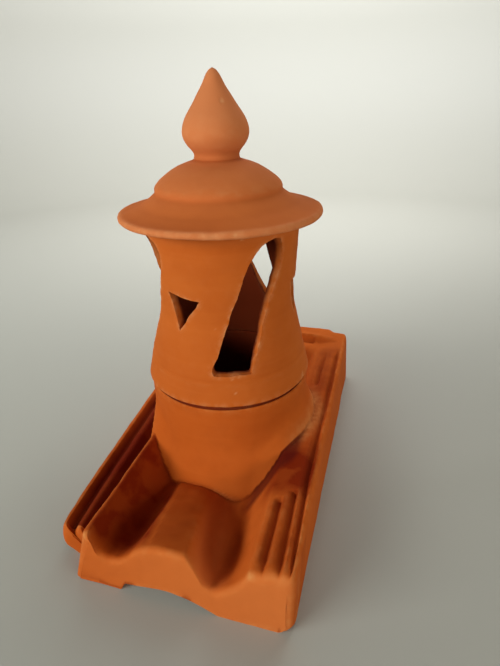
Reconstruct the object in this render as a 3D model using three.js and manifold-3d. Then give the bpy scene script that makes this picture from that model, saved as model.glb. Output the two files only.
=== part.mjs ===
// Clay roof vent: an interlocking roof tile with a round collar on it, and a loose pierced lantern that
// stands on the collar. Millimetres, +Z up. Sizes are measured from the axis of the flue at ground level,
// +Y runs from the nose of the tile to its head and +X to its grooved roll.
import * as THREE from 'three';
import { mergeVertices } from 'three/addons/utils/BufferGeometryUtils.js';
import Module from 'manifold-3d';

// Tile, seen along its length
const NOSE_Y = -204;
const HEAD_Y = 211;
const ROLL_END_Y = 204;
const SHEET = 14;
const NOSE_LIP = 18;
const SIDE_WALL = 13;

// Tile, heights of the top surface across its width
const RIM_X = -69;
const RIM_Z = 61;
const RIM_FOOT_X = -88;
const RIM_TOP_WIDTH = 4;
const LEFT_PAN_Z = 25;
const RIB_Z = 29;
const RIGHT_PAN_Z = 20;
const SHOULDER_X = 77;
const SHOULDER_Z = 61;
const CREST_X = 110;
const CREST_Z = 68;
const EDGE_X = 115;
const EDGE_Z = 58;
const WALL_FOOT_X = [114, 118];
const FOOT_CORNER = 14;

// The middle rib and the pans change from the collar, first value, to the nose, second value
const LEFT_PAN_X = [-34, -45];
const RIB_LEFT_X = [-25, -18];
const RIB_RIGHT_X = [5, 22];
const RIGHT_PAN_START_X = [26, 44];
const RIGHT_PAN_END_X = [44, 49];
const LEFT_PAN_RISE = 12;
const RIB_RISE = 33;
const RIGHT_PAN_RISE = 9;
const NOSE_RISE_START_Y = -96;
const SCOOP_START_Y = -165;

// Grooves pressed into the roll: place across, half width, depth, and where they run
const NOSE_GROOVE_Y = [-197, -114];
const HEAD_GROOVE_RUN_Y = [58, 154];
const LINE_GROOVE_Y = [NOSE_GROOVE_Y[0], 186];
const ROLL_GROOVES = [
  { x: 85.5, half: 5.5, depth: 7, runs: [NOSE_GROOVE_Y, HEAD_GROOVE_RUN_Y] },
  { x: 97.5, half: 5.5, depth: 7, runs: [NOSE_GROOVE_Y, HEAD_GROOVE_RUN_Y] },
  { x: 106.5, half: 3.5, depth: 4, runs: [LINE_GROOVE_Y] },
];
const GROOVE_END = 7;

// Head lock
const HEAD_Z = 60;
const HEAD_LOCK_Z = 69;
const HEAD_SLOPE_Y = [140, 170];
const HEAD_GROOVE_Y = 183;
const HEAD_GROOVE_HALF = 5;
const HEAD_GROOVE_DEPTH = 6;
const HEAD_GROOVE_X = [-58, 70];
const HEAD_LOCK_END_X = 97;
const HEAD_LOCK_ROUND = 4;

// Underside: the nose stands on two feet with a low arch between them
const ARCH_X = [-37, 53];
const ARCH_STEP_Z = 10;
const ARCH_CROWN_Z = 14;
const ARCH_CROWN_X = 2;

// Side lock: a low flange along the left side. Places across it are measured in from its outer lip.
const LOCK_START_Y = NOSE_Y + 22;
const LOCK_END_Y = HEAD_Y - 8;
const LOCK_OUTER_X = [-109, -120];
const LOCK_INNER_X = -64;
const LOCK_LIP = 3;
const LOCK_CHANNEL = 8.5;
const LOCK_RIB = 17;
const LOCK_RIB_HALF = 2;
const LOCK_INNER_CHANNEL = 26;
const LOCK_SHOULDER = 34;
const LOCK_WALL = 11;
const LOCK_FOOT_INSET = 8;
const LOCK_FOOT_GATHER = 4;
const LOCK_Z = [35, 47];
const LOCK_RISE_END = 0.5;
const LOCK_RIB_Z = 2;
const LOCK_CHANNEL_DEPTH = 8;
const LOCK_SIDE_Z = 52;

// Collar
const SEAM_Z = 122;
const COLLAR_TOP_RADIUS = 85.3;
const FLUE_RADIUS = 75;
const COLLAR_EDGE = 2.5;
const COLLAR_FLARE = [[85.5, 74], [90.5, 55], [96.2, 41], [102, 29], [107, 19]];
const COLLAR_FOOT_Z = 10;
const COLLAR_FOOT_RADIUS = 104;
const COLLAR_LIFT = { left: 12, right: 26, from: 45, to: 88 };

// Lantern: heights are above the seam
const REST_GAP = 0.3;
const LANTERN_RADIUS = 87;
const LANTERN_WALL = 8.5;
const LIP_EDGE = 2.5;
const BAND_Z = 23;
const BAND_RADIUS = 82;
const BAND_STEP = 1;
const WAIST = [[75.4, 52], [70.6, 78], [71.6, 106], [73.4, 140], [77, 161]];
const BRIM_RADIUS = 96;
const BRIM_Z = 168;
const BRIM_EDGE = 0.7;
const BRIM_ROUND = 3;
const BRIM_TOP = [[89, 170.8], [72.3, 177.3], [59.7, 186.4]];
const DOME = [[58.6, 192.5], [51, 200.2], [37, 208.6], [21.2, 214]];
const NECK_RADIUS = 20.4;
const NECK_Z = 217.5;
const FINIAL = [[26.5, 226.8], [29.9, 235.5], [27, 246.5], [21, 255.6], [14.5, 264.8], [8.6, 274]];
const TIP_RADIUS = 3.4;
const TIP_Z = 285;
const CAVITY_DOME = [[64, 163], [54, 181], [36, 193]];
const CAVITY_TOP_Z = 198;

// Windows in the lantern: slanted leaves with small triangles between them.
// Angles run in degrees from the nose of the tile towards its roll, and slants are degrees to a millimetre.
// They were cut by hand: the left leaf and the right triangle are wider than the others.
const LEAVES = [
  { angle: 36.5, slant: 0.29, half: 14.4 },
  { angle: 154, slant: 0.42, half: 14.4 },
  { angle: -69.6, slant: 0.32, half: 25 },
];
const LEAF_Z = [30.5, 155];
const LEAF_SHOULDER_Z = 128;
const LEAF_MIDDLE_Z = 87;
const LEAF_CORNER_Z = 9;
const LEAF_CORNER_ANGLE = 6;
const TRIANGLES = [{ angle: -13.5, spread: 1 }, { angle: 98, spread: 1.35 }, { angle: 226, spread: 1 }];
const TRIANGLE_CORNERS = [[-13, 106.5], [13.8, 102], [-5.7, 70]];
const WINDOW_REACH = [57, 92];

// Fineness of the facets
const ROUND_SIDES = 36;
const CURVE_STEPS = 2;
const OUTLINE_STEPS = 26;
const TILE_STEP_X = 10;
const TILE_STEP_Y = 26;
const LOCK_STEP_Y = 42;
const STATION_CLEARANCE = 0.45;
const FACE_LEAN = 1;
const WELD = 1e-4;

const wasm = await Module();
wasm.setup();

// Number helpers
const mix = (a, b, t) => a + (b - a) * t;
const clamp01 = (t) => Math.min(1, Math.max(0, t));
const share = (a, b, value) => clamp01((value - a) / (b - a));
const ease = (t) => t * t * (3 - 2 * t);
const bothFaces = (place) => [place - FACE_LEAN, place + FACE_LEAN];

// Height of a line of knots [x, z] at x, eased from knot to knot so that every knot is a crest or a floor
function knotHeight(knots, x) {
  if (x <= knots[0][0]) return knots[0][1];
  for (let k = 1; k < knots.length; k += 1) {
    const [x0, z0] = knots[k - 1];
    const [x1, z1] = knots[k];
    if (x <= x1) return mix(z0, z1, ease(share(x0, x1, x)));
  }
  return knots[knots.length - 1][1];
}

// Round-bottomed dip across a groove: 1 in the middle, 0 at its edges
function dip(distance, half) {
  const t = distance / half;
  return Math.abs(t) < 1 ? Math.cos((t * Math.PI) / 2) ** 2 : 0;
}

// 1 along a run from start to end, eased to 0 over its rounded ends
function runShare([start, end], place) {
  return ease(share(start, start + GROOVE_END, place)) * ease(share(end, end - GROOVE_END, place));
}

// Top surface of the tile
function topHeight(x, y) {
  const rise = share(NOSE_RISE_START_Y, NOSE_Y, y);
  const scoop = ease(share(SCOOP_START_Y, NOSE_Y, y));
  const head = ease(share(HEAD_SLOPE_Y[0], HEAD_SLOPE_Y[1], y));
  const toNose = ([atCollar, atNose]) => mix(atCollar, atNose, rise);
  const leftPan = LEFT_PAN_Z + LEFT_PAN_RISE * scoop;
  const rib = RIB_Z + RIB_RISE * rise;
  const rightPan = RIGHT_PAN_Z + RIGHT_PAN_RISE * scoop;
  const headTop = y > HEAD_GROOVE_Y ? HEAD_LOCK_Z : HEAD_Z;
  const knots = [
    [RIM_X + RIM_TOP_WIDTH, RIM_Z],
    [toNose(LEFT_PAN_X), mix(leftPan, headTop, head)],
    [toNose(RIB_LEFT_X), mix(rib, headTop, head)],
    [toNose(RIB_RIGHT_X), mix(rib, headTop, head)],
    [toNose(RIGHT_PAN_START_X), mix(rightPan, headTop, head)],
    [toNose(RIGHT_PAN_END_X), mix(rightPan, headTop, head)],
    [SHOULDER_X, SHOULDER_Z],
    [CREST_X, CREST_Z],
    [EDGE_X, EDGE_Z],
  ];
  let z = knotHeight(knots, x);
  for (const groove of ROLL_GROOVES) {
    const along = Math.max(...groove.runs.map((run) => runShare(run, y)));
    z -= groove.depth * dip(x - groove.x, groove.half) * along;
  }
  const acrossHead = runShare(HEAD_GROOVE_X, x);
  return z - HEAD_GROOVE_DEPTH * dip(y - HEAD_GROOVE_Y, HEAD_GROOVE_HALF) * acrossHead;
}

// Lower edge of the nose: two feet on the ground and the arch between them
function archHeight(x) {
  if (x < ARCH_X[0] || x > ARCH_X[1]) return 0;
  if (x < ARCH_CROWN_X) return mix(ARCH_STEP_Z, ARCH_CROWN_Z, ease(share(ARCH_X[0], ARCH_CROWN_X, x)));
  return ARCH_CROWN_Z * (1 - ease(share(ARCH_CROWN_X, ARCH_X[1], x)));
}

// Underside of the tile: a hollow under the sheet, inside the nose lip, the side walls and the head
function underHeight(x, y) {
  const inNose = y < NOSE_Y + NOSE_LIP;
  if (inNose) return archHeight(x);
  const inWall = x < RIM_X + SIDE_WALL || x > CREST_X - SIDE_WALL || y > HEAD_Y - NOSE_LIP;
  return inWall ? 0 : Math.max(topHeight(x, y) - SHEET, 0);
}

// Lift of the underside that rounds off the lower right corner of the nose
function cornerLift(x, y) {
  const t = share(EDGE_X - FOOT_CORNER, EDGE_X, x);
  return FOOT_CORNER * (1 - Math.sqrt(1 - t * t)) * (1 - ease(share(NOSE_Y, NOSE_Y + NOSE_LIP, y)));
}

// Stations every few millimetres from a to b, with the extra places that edges need
function stations(a, b, step, extra) {
  const count = Math.round((b - a) / step);
  const even = Array.from({ length: count + 1 }, (_, k) => mix(a, b, k / count));
  const clear = even.filter((s) => extra.every((e) => Math.abs(e - s) > step * STATION_CLEARANCE));
  return [...new Set([a, ...clear, ...extra, b])].sort((p, q) => p - q);
}

// Box whose grid of columns and rows is carried to place(column x, row y, on top or not)
function sheetGeometry(xs, ys, place) {
  const geometry = new THREE.BoxGeometry(1, 1, 1, xs.length - 1, ys.length - 1, 1);
  const position = geometry.attributes.position;
  for (let k = 0; k < position.count; k += 1) {
    const column = Math.round((position.getX(k) + 0.5) * (xs.length - 1));
    const row = Math.round((position.getY(k) + 0.5) * (ys.length - 1));
    position.setXYZ(k, ...place(xs[column], ys[row], position.getZ(k) > 0));
  }
  return geometry;
}

// Closed solid for joining and cutting
function solidOf(geometry) {
  const bare = geometry.clone();
  bare.deleteAttribute('normal');
  bare.deleteAttribute('uv');
  const welded = mergeVertices(bare, WELD);
  const mesh = new wasm.Mesh({
    numProp: 3,
    vertProperties: new Float32Array(welded.attributes.position.array),
    triVerts: new Uint32Array(welded.index.array),
  });
  mesh.merge();
  return new wasm.Manifold(mesh);
}

// Geometry of a finished solid
function geometryOf(solid) {
  const { vertProperties, triVerts } = solid.getMesh();
  const geometry = new THREE.BufferGeometry();
  geometry.setAttribute('position', new THREE.BufferAttribute(vertProperties, 3));
  geometry.setIndex(new THREE.BufferAttribute(triVerts, 1));
  geometry.computeVertexNormals();
  return geometry;
}

// Body of revolution about the flue axis from a list of [radius, height]
function turned(profile) {
  const points = profile.map(([radius, height]) => new THREE.Vector2(radius, height));
  return new THREE.LatheGeometry(points, ROUND_SIDES).rotateX(Math.PI / 2);
}

// Smooth run of [radius, height] through the given ones
function smooth(points) {
  const curve = new THREE.SplineCurve(points.map(([radius, height]) => new THREE.Vector2(radius, height)));
  return curve.getPoints((points.length - 1) * CURVE_STEPS).map((p) => [p.x, p.y]);
}

// The pressed tile: sheet, walls and feet. The nose stands out past the side lock, and the head lock past
// the roll.
function tileSheet() {
  const wallFaces = [RIM_X + SIDE_WALL, CREST_X - SIDE_WALL, ARCH_X[0]].flatMap(bothFaces);
  const grooveEdges = ROLL_GROOVES.flatMap(({ x, half }) => [x - half, x, x + half]);
  const crests = [RIM_X + RIM_TOP_WIDTH, SHOULDER_X, CREST_X];
  const xs = stations(RIM_X, EDGE_X, TILE_STEP_X, [...crests, ...wallFaces, ...grooveEdges]);
  const lipFaces = [NOSE_Y + NOSE_LIP, HEAD_Y - NOSE_LIP].flatMap(bothFaces);
  const [grooveStart, grooveEnd] = NOSE_GROOVE_Y;
  const grooveEnds = [grooveStart, grooveStart + GROOVE_END, grooveEnd - GROOVE_END, grooveEnd];
  const headEdges = [HEAD_GROOVE_Y - HEAD_GROOVE_HALF, HEAD_GROOVE_Y, ...HEAD_SLOPE_Y];
  const ys = stations(NOSE_Y, HEAD_Y, TILE_STEP_Y, [...grooveEnds, ...lipFaces, ...headEdges]);
  const slopeEnd = HEAD_SLOPE_Y[1];
  return sheetGeometry(xs, ys, (x, y, onTop) => {
    const end = mix(HEAD_Y, ROLL_END_Y, ease(share(HEAD_LOCK_END_X - HEAD_LOCK_ROUND, HEAD_LOCK_END_X, x)));
    const along = y > slopeEnd ? mix(slopeEnd, end, share(slopeEnd, HEAD_Y, y)) : y;
    if (onTop) return [x, along, topHeight(x, y)];
    if (x === RIM_X) return [y < LOCK_START_Y ? RIM_FOOT_X : RIM_X, along, 0];
    const lift = cornerLift(x, y);
    if (x === EDGE_X) return [mix(...WALL_FOOT_X, share(NOSE_Y, HEAD_Y, y)), along, lift];
    return [x, along, underHeight(x, y) + lift];
  });
}

// The side lock: lip, channel, rib and inner channel. It bows in and down a little towards the nose, and
// its hollow underside leaves an outer wall whose foot is drawn in.
function sideLock() {
  const crests = [LOCK_LIP, LOCK_CHANNEL, LOCK_RIB - LOCK_RIB_HALF, LOCK_RIB + LOCK_RIB_HALF];
  const inner = LOCK_INNER_X - LOCK_OUTER_X[0];
  const steps = [0, ...crests, ...bothFaces(LOCK_WALL), LOCK_INNER_CHANNEL, LOCK_SHOULDER, inner];
  const xs = steps.sort((a, b) => a - b);
  const ys = stations(LOCK_START_Y, LOCK_END_Y, LOCK_STEP_Y, []);
  return sheetGeometry(xs, ys, (step, y, onTop) => {
    const along = share(LOCK_START_Y, LOCK_END_Y, y);
    const outer = mix(LOCK_OUTER_X[0], LOCK_OUTER_X[1], Math.sqrt(along));
    const lip = mix(LOCK_Z[0], LOCK_Z[1], clamp01(along / LOCK_RISE_END));
    const x = step === inner ? LOCK_INNER_X : outer + step;
    const top = knotHeight([
      [LOCK_LIP, lip],
      [LOCK_CHANNEL, lip - LOCK_CHANNEL_DEPTH],
      [LOCK_RIB - LOCK_RIB_HALF, lip + LOCK_RIB_Z],
      [LOCK_RIB + LOCK_RIB_HALF, lip + LOCK_RIB_Z],
      [LOCK_INNER_CHANNEL, lip - LOCK_CHANNEL_DEPTH],
      [LOCK_SHOULDER, lip],
      [inner, LOCK_SIDE_Z],
    ], step);
    if (onTop) return [x, y, top];
    const atEnd = y === LOCK_START_Y || y === LOCK_END_Y;
    const hollow = step > LOCK_WALL && step < inner && !atEnd;
    const foot = outer + LOCK_FOOT_INSET + step / LOCK_FOOT_GATHER;
    return [Math.max(x, foot), y, hollow ? lip - LOCK_CHANNEL_DEPTH - SHEET : 0];
  });
}

// The collar: a round wall that flares out over the pans, and starts to flare higher over the rim and
// the roll
function collarRing() {
  const ring = turned([
    [FLUE_RADIUS, COLLAR_FOOT_Z],
    [COLLAR_FOOT_RADIUS, COLLAR_FOOT_Z],
    ...smooth(COLLAR_FLARE).reverse(),
    [COLLAR_TOP_RADIUS, SEAM_Z - COLLAR_EDGE],
    [COLLAR_TOP_RADIUS - COLLAR_EDGE, SEAM_Z],
    [FLUE_RADIUS, SEAM_Z],
    [FLUE_RADIUS, COLLAR_FOOT_Z],
  ]);
  const position = ring.attributes.position;
  for (let k = 0; k < position.count; k += 1) {
    const x = position.getX(k);
    const side = x > 0 ? COLLAR_LIFT.right : COLLAR_LIFT.left;
    const lift = side * ease(share(COLLAR_LIFT.from, COLLAR_LIFT.to, Math.abs(x)));
    const z = position.getZ(k);
    const onFlare = z > COLLAR_FOOT_Z && z < SEAM_Z - COLLAR_EDGE;
    if (onFlare) position.setZ(k, z + lift);
  }
  return ring;
}

function ventTile() {
  const cylinder = new THREE.CylinderGeometry(FLUE_RADIUS, FLUE_RADIUS, 2 * SEAM_Z, ROUND_SIDES);
  const flue = solidOf(cylinder.rotateX(Math.PI / 2));
  const pressed = solidOf(tileSheet()).add(solidOf(sideLock())).subtract(flue);
  return geometryOf(pressed.add(solidOf(collarRing())));
}

// Profile of the lantern from the top of its cavity down the inside, round the lip and up to the tip
function lanternProfile() {
  const inside = [[LANTERN_RADIUS - LANTERN_WALL, 0], [BAND_RADIUS - LANTERN_WALL, BAND_Z],
    ...WAIST.map(([radius, height]) => [radius - LANTERN_WALL, height])];
  return [
    ...[...inside, ...CAVITY_DOME, [0, CAVITY_TOP_Z]].reverse(),
    [LANTERN_RADIUS - LIP_EDGE, 0],
    [LANTERN_RADIUS, LIP_EDGE],
    [BAND_RADIUS, BAND_Z],
    ...smooth([[BAND_RADIUS - BAND_STEP, BAND_Z + BAND_STEP], ...WAIST]),
    [BRIM_RADIUS - BRIM_ROUND, BRIM_Z - BRIM_EDGE],
    [BRIM_RADIUS, BRIM_Z],
    ...BRIM_TOP,
    ...smooth(DOME),
    ...smooth([[NECK_RADIUS, NECK_Z], ...FINIAL]),
    [TIP_RADIUS, TIP_Z - TIP_RADIUS / 2],
    [0, TIP_Z],
  ];
}

// Cutter whose outline [angle, height] runs straight out from the axis
function windowCutter(shape, angle, slant) {
  const outline = new THREE.Shape(shape.getSpacedPoints(OUTLINE_STEPS).slice(0, -1));
  const geometry = new THREE.ExtrudeGeometry(outline, { depth: 1, steps: 1, bevelEnabled: false });
  const position = geometry.attributes.position;
  for (let k = 0; k < position.count; k += 1) {
    const height = position.getY(k);
    const turn = position.getX(k) + angle + slant * (height - LEAF_MIDDLE_Z);
    const radians = THREE.MathUtils.degToRad(turn);
    const radius = mix(WINDOW_REACH[0], WINDOW_REACH[1], position.getZ(k));
    position.setXYZ(k, radius * Math.sin(radians), -radius * Math.cos(radians), height);
  }
  return solidOf(geometry);
}

// Leaf: a flat sill with one round corner, straight sides and a round top
function leafShape(half) {
  const [sill, top] = LEAF_Z;
  const crown = top + (top - LEAF_SHOULDER_Z) / 3;
  return new THREE.Shape()
    .moveTo(-half, sill + LEAF_CORNER_Z)
    .quadraticCurveTo(-half, sill, LEAF_CORNER_ANGLE - half, sill)
    .lineTo(half, sill)
    .lineTo(half, LEAF_SHOULDER_Z)
    .bezierCurveTo(half, crown, -half, crown, -half, LEAF_SHOULDER_Z)
    .lineTo(-half, sill + LEAF_CORNER_Z);
}

function triangleShape(spread) {
  const [first, ...rest] = TRIANGLE_CORNERS.map(([angle, height]) => [angle * spread, height]);
  const shape = new THREE.Shape().moveTo(...first);
  for (const corner of [...rest, first]) shape.lineTo(...corner);
  return shape;
}

function lanternCap() {
  const leaves = LEAVES.map(({ angle, slant, half }) => windowCutter(leafShape(half), angle, slant));
  const triangles = TRIANGLES.map(({ angle, spread }) => windowCutter(triangleShape(spread), angle, 0));
  let lantern = solidOf(turned(lanternProfile()));
  for (const cutter of [...leaves, ...triangles]) lantern = lantern.subtract(cutter);
  return geometryOf(lantern);
}

// Named piece of fired clay
function clayPiece(name, geometry, color) {
  const clay = new THREE.MeshStandardMaterial({ color, roughness: 0.85, metalness: 0 });
  const piece = new THREE.Mesh(geometry, clay);
  piece.name = name;
  return piece;
}

const vent = new THREE.Group();
vent.add(clayPiece('vent_tile', ventTile(), '#a9531f'));
const lantern = clayPiece('lantern_cap', lanternCap(), '#b9622f');
lantern.position.z = SEAM_Z + REST_GAP;
vent.add(lantern);
vent.position.set(-(WALL_FOOT_X[1] + LOCK_OUTER_X[1]) / 2, -(NOSE_Y + HEAD_Y) / 2, 0);

export default vent;
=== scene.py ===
"""Looks of the clay roof vent: a pressed roof tile with a round collar, and the loose pierced lantern on it.

Shapes are worked out in millimetres from the axis of the flue at ground level, with +Y from the nose of the
tile to its head and +X towards its grooved roll, and are moved into the frame when they become meshes.
"""

import math

import bpy
import numpy as np
from mathutils import Matrix, Vector


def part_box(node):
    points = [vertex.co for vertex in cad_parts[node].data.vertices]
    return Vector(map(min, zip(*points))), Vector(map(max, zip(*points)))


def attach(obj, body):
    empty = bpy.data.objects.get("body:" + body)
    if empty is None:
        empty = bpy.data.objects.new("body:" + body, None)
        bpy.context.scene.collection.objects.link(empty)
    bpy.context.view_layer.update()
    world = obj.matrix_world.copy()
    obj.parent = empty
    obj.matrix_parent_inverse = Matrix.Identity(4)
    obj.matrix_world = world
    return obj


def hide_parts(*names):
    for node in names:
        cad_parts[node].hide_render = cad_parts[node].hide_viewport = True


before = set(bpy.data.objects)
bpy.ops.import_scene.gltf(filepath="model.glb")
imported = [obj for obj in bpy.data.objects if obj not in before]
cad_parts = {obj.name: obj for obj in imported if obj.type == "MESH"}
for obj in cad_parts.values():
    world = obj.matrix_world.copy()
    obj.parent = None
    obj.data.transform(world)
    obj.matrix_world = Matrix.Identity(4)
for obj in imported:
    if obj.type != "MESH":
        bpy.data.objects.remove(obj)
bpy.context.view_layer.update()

MM = 0.001
lantern_low, lantern_high = (np.array(corner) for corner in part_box("lantern_cap"))
tile_low, tile_high = (np.array(corner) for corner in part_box("vent_tile"))
FLUE_AXIS = np.array([*((lantern_low + lantern_high) / 2)[:2], 0.0])
SEAM_Z = tile_high[2] / MM
RNG = np.random.default_rng(7)

# Tile along its length
NOSE_Y = (tile_low[1] - FLUE_AXIS[1]) / MM
HEAD_Y = (tile_high[1] - FLUE_AXIS[1]) / MM
ROLL_END_Y = HEAD_Y - 7
SHEET_THICKNESS = 14
NOSE_LIP = 18
SIDE_WALL = 13
NOSE_ROUND = 6.5
HEAD_ROUND = 3
CORNER_ROUND = 6
CORNER_REACH = 14

# Face of the nose: rows up it, how far above the foot they start, and how far the sole runs back under it
FACE_ROWS = 18
FACE_FOOT = 1.5
FACE_UNDER = 0.4

# Tile across its width
RIM_X = -69
RIM_FOOT_X = -88
RIM_ROUND = 2.5
CREST_X = 110
CREST_Z = 68
EDGE_X = 115
EDGE_Z = 58
WALL_FOOT_X = (114, 118)
FOOT_CORNER = 14

# Section from the rim over the pans and the rib to the roll: place and height at the collar, then at the
# nose, and how the height gets from one to the other, from 0 where it scoops up late to 1 where it climbs
# evenly
SECTION = (
    ((-65, 61), (-64.7, 61.4), 1),
    ((-57, 49), (-59.8, 48), 0.5),
    ((-50, 37), (-53.7, 40), 0.2),
    ((-42, 29), (-47.5, 37), 0),
    ((-36, 25.5), (-40.5, 38), 0),
    ((-31, 25.5), (-31.9, 43.6), 0.4),
    ((-27.5, 27.5), (-22.9, 52.9), 0.8),
    ((-24, 29.5), (-14.3, 60.6), 1),
    ((-14, 30), (-2.9, 65), 1),
    ((-4, 30), (11.4, 66.5), 1),
    ((5, 28.5), (25.9, 65.5), 1),
    ((12, 27.2), (31.2, 59.5), 0.8),
    ((18, 25), (35.3, 49.9), 0.5),
    ((25, 22.2), (41, 35.9), 0.2),
    ((36, 19.8), (48.3, 29.8), 0),
    ((45, 21.5), (56.3, 34.2), 0),
    ((57, 33), (65, 41.4), 0.3),
    ((67, 47), (72.8, 50.5), 0.6),
    ((77, 61), (79.6, 61.4), 1),
    ((CREST_X, CREST_Z), (CREST_X, CREST_Z), 1),
)
NOSE_RISE_START_Y = -96
SCOOP_START_Y = -165

# Grooves in the roll: left edge at the collar and at the nose, right edge at both, depth, and the run along
# the tile with its fading ends
ROLL_GROOVES = (
    ((79.6, 81), (89.4, 92.2), 6.5, (NOSE_Y - 4, 24, -122, 3)),
    ((90.6, 93.6), (101.4, 105.6), 6.5, (NOSE_Y - 4, 24, -113, 3)),
    ((99.5, 106.2), (110.5, 112.6), 5.5, (NOSE_Y - 4, 24, 156, 26)),
    ((83, 83), (93.5, 93.5), 5, (58, 12, 148, 36)),
)
GROOVE_DEEPEST = 0.7
GROOVE_SLOPE = 1.4

# Head lock, and the back corner of the roll beside it
HEAD_Z = 60
HEAD_LOCK_Z = 69
HEAD_SLOPE_Y = (140, 170)
HEAD_GROOVE_Y = 183
HEAD_GROOVE_HALF = 5
HEAD_GROOVE_DEPTH = 6
HEAD_GROOVE_RUN = (-58, 6, 72, 6)
HEAD_LOCK_END_X = 97
HEAD_LOCK_ROUND = 12
ROLL_CORNER = 9

# Arch under the nose
ARCH_X = (-41, 51)
ARCH_STEP = 7
ARCH_STEP_Z = 10
ARCH_CROWN_Z = 15
ARCH_CROWN_X = 5
ARCH_FALL = 1.6

# Side lock: its outside as places in from its outer edge and shares of the height of its lip, then places
# across its top, also measured in from the outer edge
LOCK_START_Y = NOSE_Y + 22
LOCK_END_Y = HEAD_Y - 8
LOCK_OUTER_X = (-109, -120)
LOCK_INNER_X = -64
LOCK_WIDTH = LOCK_INNER_X - LOCK_OUTER_X[0]
LOCK_OUTSIDE = ((7, 0), (2.6, 0.12), (-3.4, 0.26), (-4.6, 0.5), (-3, 0.74), (-1, 0.9), (0.4, 0.97))
LOCK_BULGE_END = 70
LOCK_LIP = 3
LOCK_CHANNEL = 8.5
LOCK_RIB = 17
LOCK_RIB_HALF = 1
LOCK_INNER_CHANNEL = 26
LOCK_SHOULDER = 34
LOCK_WALL = 11
LOCK_FOOT_INSET = 8
LOCK_Z = (36, 47)
LOCK_RISE_END = 0.5
LOCK_RIB_Z = -1
LOCK_CHANNEL_DEPTH = 9
LOCK_SIDE_Z = 52
LOCK_END_ROUND = 5

# Collar, its ledge and its flare, as radius and height, which starts higher over the rim and the roll
COLLAR_TOP_RADIUS = 85.3
FLUE_RADIUS = 75
FLUE_SKIN = 1
COLLAR_EDGE = 2.5
COLLAR_NECK_Z = SEAM_Z - 4 * COLLAR_EDGE
SEAT_RADIUS = 81.5
SEAT_STEP = 2.6
SEAT_SAG = 1.8
SEAT_SAG_ANGLE = 40
LEDGE_RADIUS = SEAT_RADIUS + SEAT_STEP / 4
LEDGE_LOW_Z = SEAM_Z - 2 * COLLAR_EDGE - SEAT_STEP
COLLAR_FLARE = ((85.5, 74), (90.5, 55), (96.2, 41), (102, 29), (107, 19))
COLLAR_FOOT_Z = 10
COLLAR_FOOT_RADIUS = 104
COLLAR_LEFT_X = 70
COLLAR_LIFT = 26
COLLAR_LIFT_LEFT_X = (42, 72)
COLLAR_LIFT_RIGHT_X = (45, 88)

# Lantern: outlines as radius and height above its lip
LANTERN_Z = lantern_low[2] / MM
LANTERN_RADIUS = 87
LANTERN_WALL = 8.5
LIP_EDGE = 1.4
BAND_Z = 23
BAND_RADIUS = 82
BAND_STEP = 1
WAIST = (
    (78.6, 38), (75.6, 51), (73, 64), (70.8, 76), (70.2, 86),
    (71.5, 104), (72.6, 122), (74, 148), (77, 161),
)
BRIM_EDGE = (
    (86, 164.6), (92, 164.7), (94.8, 165), (96, 166.4),
    (96.2, 168.6), (95.4, 170.4), (93.4, 171.4),
)
BRIM_TOP = ((90, 171.9), (86, 172.7), (80, 174.5), (72.3, 177.5), (62.5, 184.2), (59.6, 187.4))
DOME = ((58.6, 192.5), (51, 200.2), (37, 208.6), (22.6, 213.6))
NECK = ((20.9, 215.2), (20.4, 218.2), (21.8, 221.2))
FINIAL = (
    (26.5, 226.8), (29.9, 235.5), (27.2, 246.5), (21.4, 256),
    (15.2, 265.4), (9.4, 274.2), (5.6, 281.4),
)
TIP_RADIUS = 3.2
TIP_Z = 286
HAT_LEAN = (-1.15, -0.35)
HAT_LEAN_Z = (165, 190)
CAVITY_DOME = ((64, 163), (54, 181), (36, 193))
CAVITY_TOP_Z = 198

# Windows: leaves as (angle, slant, half width) and triangles as (angle, spread), with angles in degrees from
# the nose towards the roll and slants in degrees to a millimetre
LEAVES = ((36.5, 0.29, 14.4), (154, 0.42, 14.4), (-69.6, 0.32, 25))
LEAF_Z = (30.5, 155)
LEAF_SHOULDER_Z = 128
LEAF_MIDDLE_Z = 87
LEAF_CORNER_Z = 9
LEAF_CORNER_ANGLE = 6
TRIANGLES = ((-13.5, 1), (98, 1.35), (226, 1))
TRIANGLE_CORNERS = ((-13, 106.5), (13.8, 102), (-5.7, 70))
WINDOW_REACH = (50, 104)

# Chips and pale knocks on the lantern: angle, radius, height above the lip, size, depth
KNOCKS = (
    (9.8, 96, 169, 3.2, 0.9),
    (16, 96, 169, 3.6, 1.1),
    (25, 96, 168.6, 2.6, 0.7),
    (-25.6, 96, 168, 2.6, 0.6),
    (32, 76.6, 160, 2.2, 0.4),
    (-53, 75.7, 50.6, 1.5, 0.2),
    (21.4, 80.6, 27.4, 1.6, 0.2),
    (20.3, 83, 18.2, 1.4, 0.2),
    (22.7, 84, 14, 1.8, 0.2),
    (11, 70.9, 75.6, 1.2, 0.2),
    (39, 76, 48, 2.4, 0.4),
    (26, 80, 29.6, 2.2, 0.3),
    (81.5, 86.4, 4, 4.5, 1.6),
    (38.5, 17.6, 261, 3, 0.5),
)

# Throwing rings on the lantern: height, millimetres to a radian, phase
THROWING_RINGS = ((0.05, 1.9, 0), (0.08, 4.3, 1))

# Unevenness of the clay: swells of height, wave length and number of waves
TILE_SWELLS = ((0.4, 70, 20), (0.14, 16, 24))
LOCK_SWELLS = ((0.4, 60, 20), (0.14, 16, 24))
COLLAR_SWELLS = ((0.2, 60, 20), (0.06, 16, 24))
LANTERN_SWELLS = ((0.2, 60, 20), (0.06, 12, 24))
WINDOW_SWELLS = ((0.35, 14, 12), (0.2, 5, 16))
WAVE_SPREAD = (0.7, 1.5)

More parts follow.
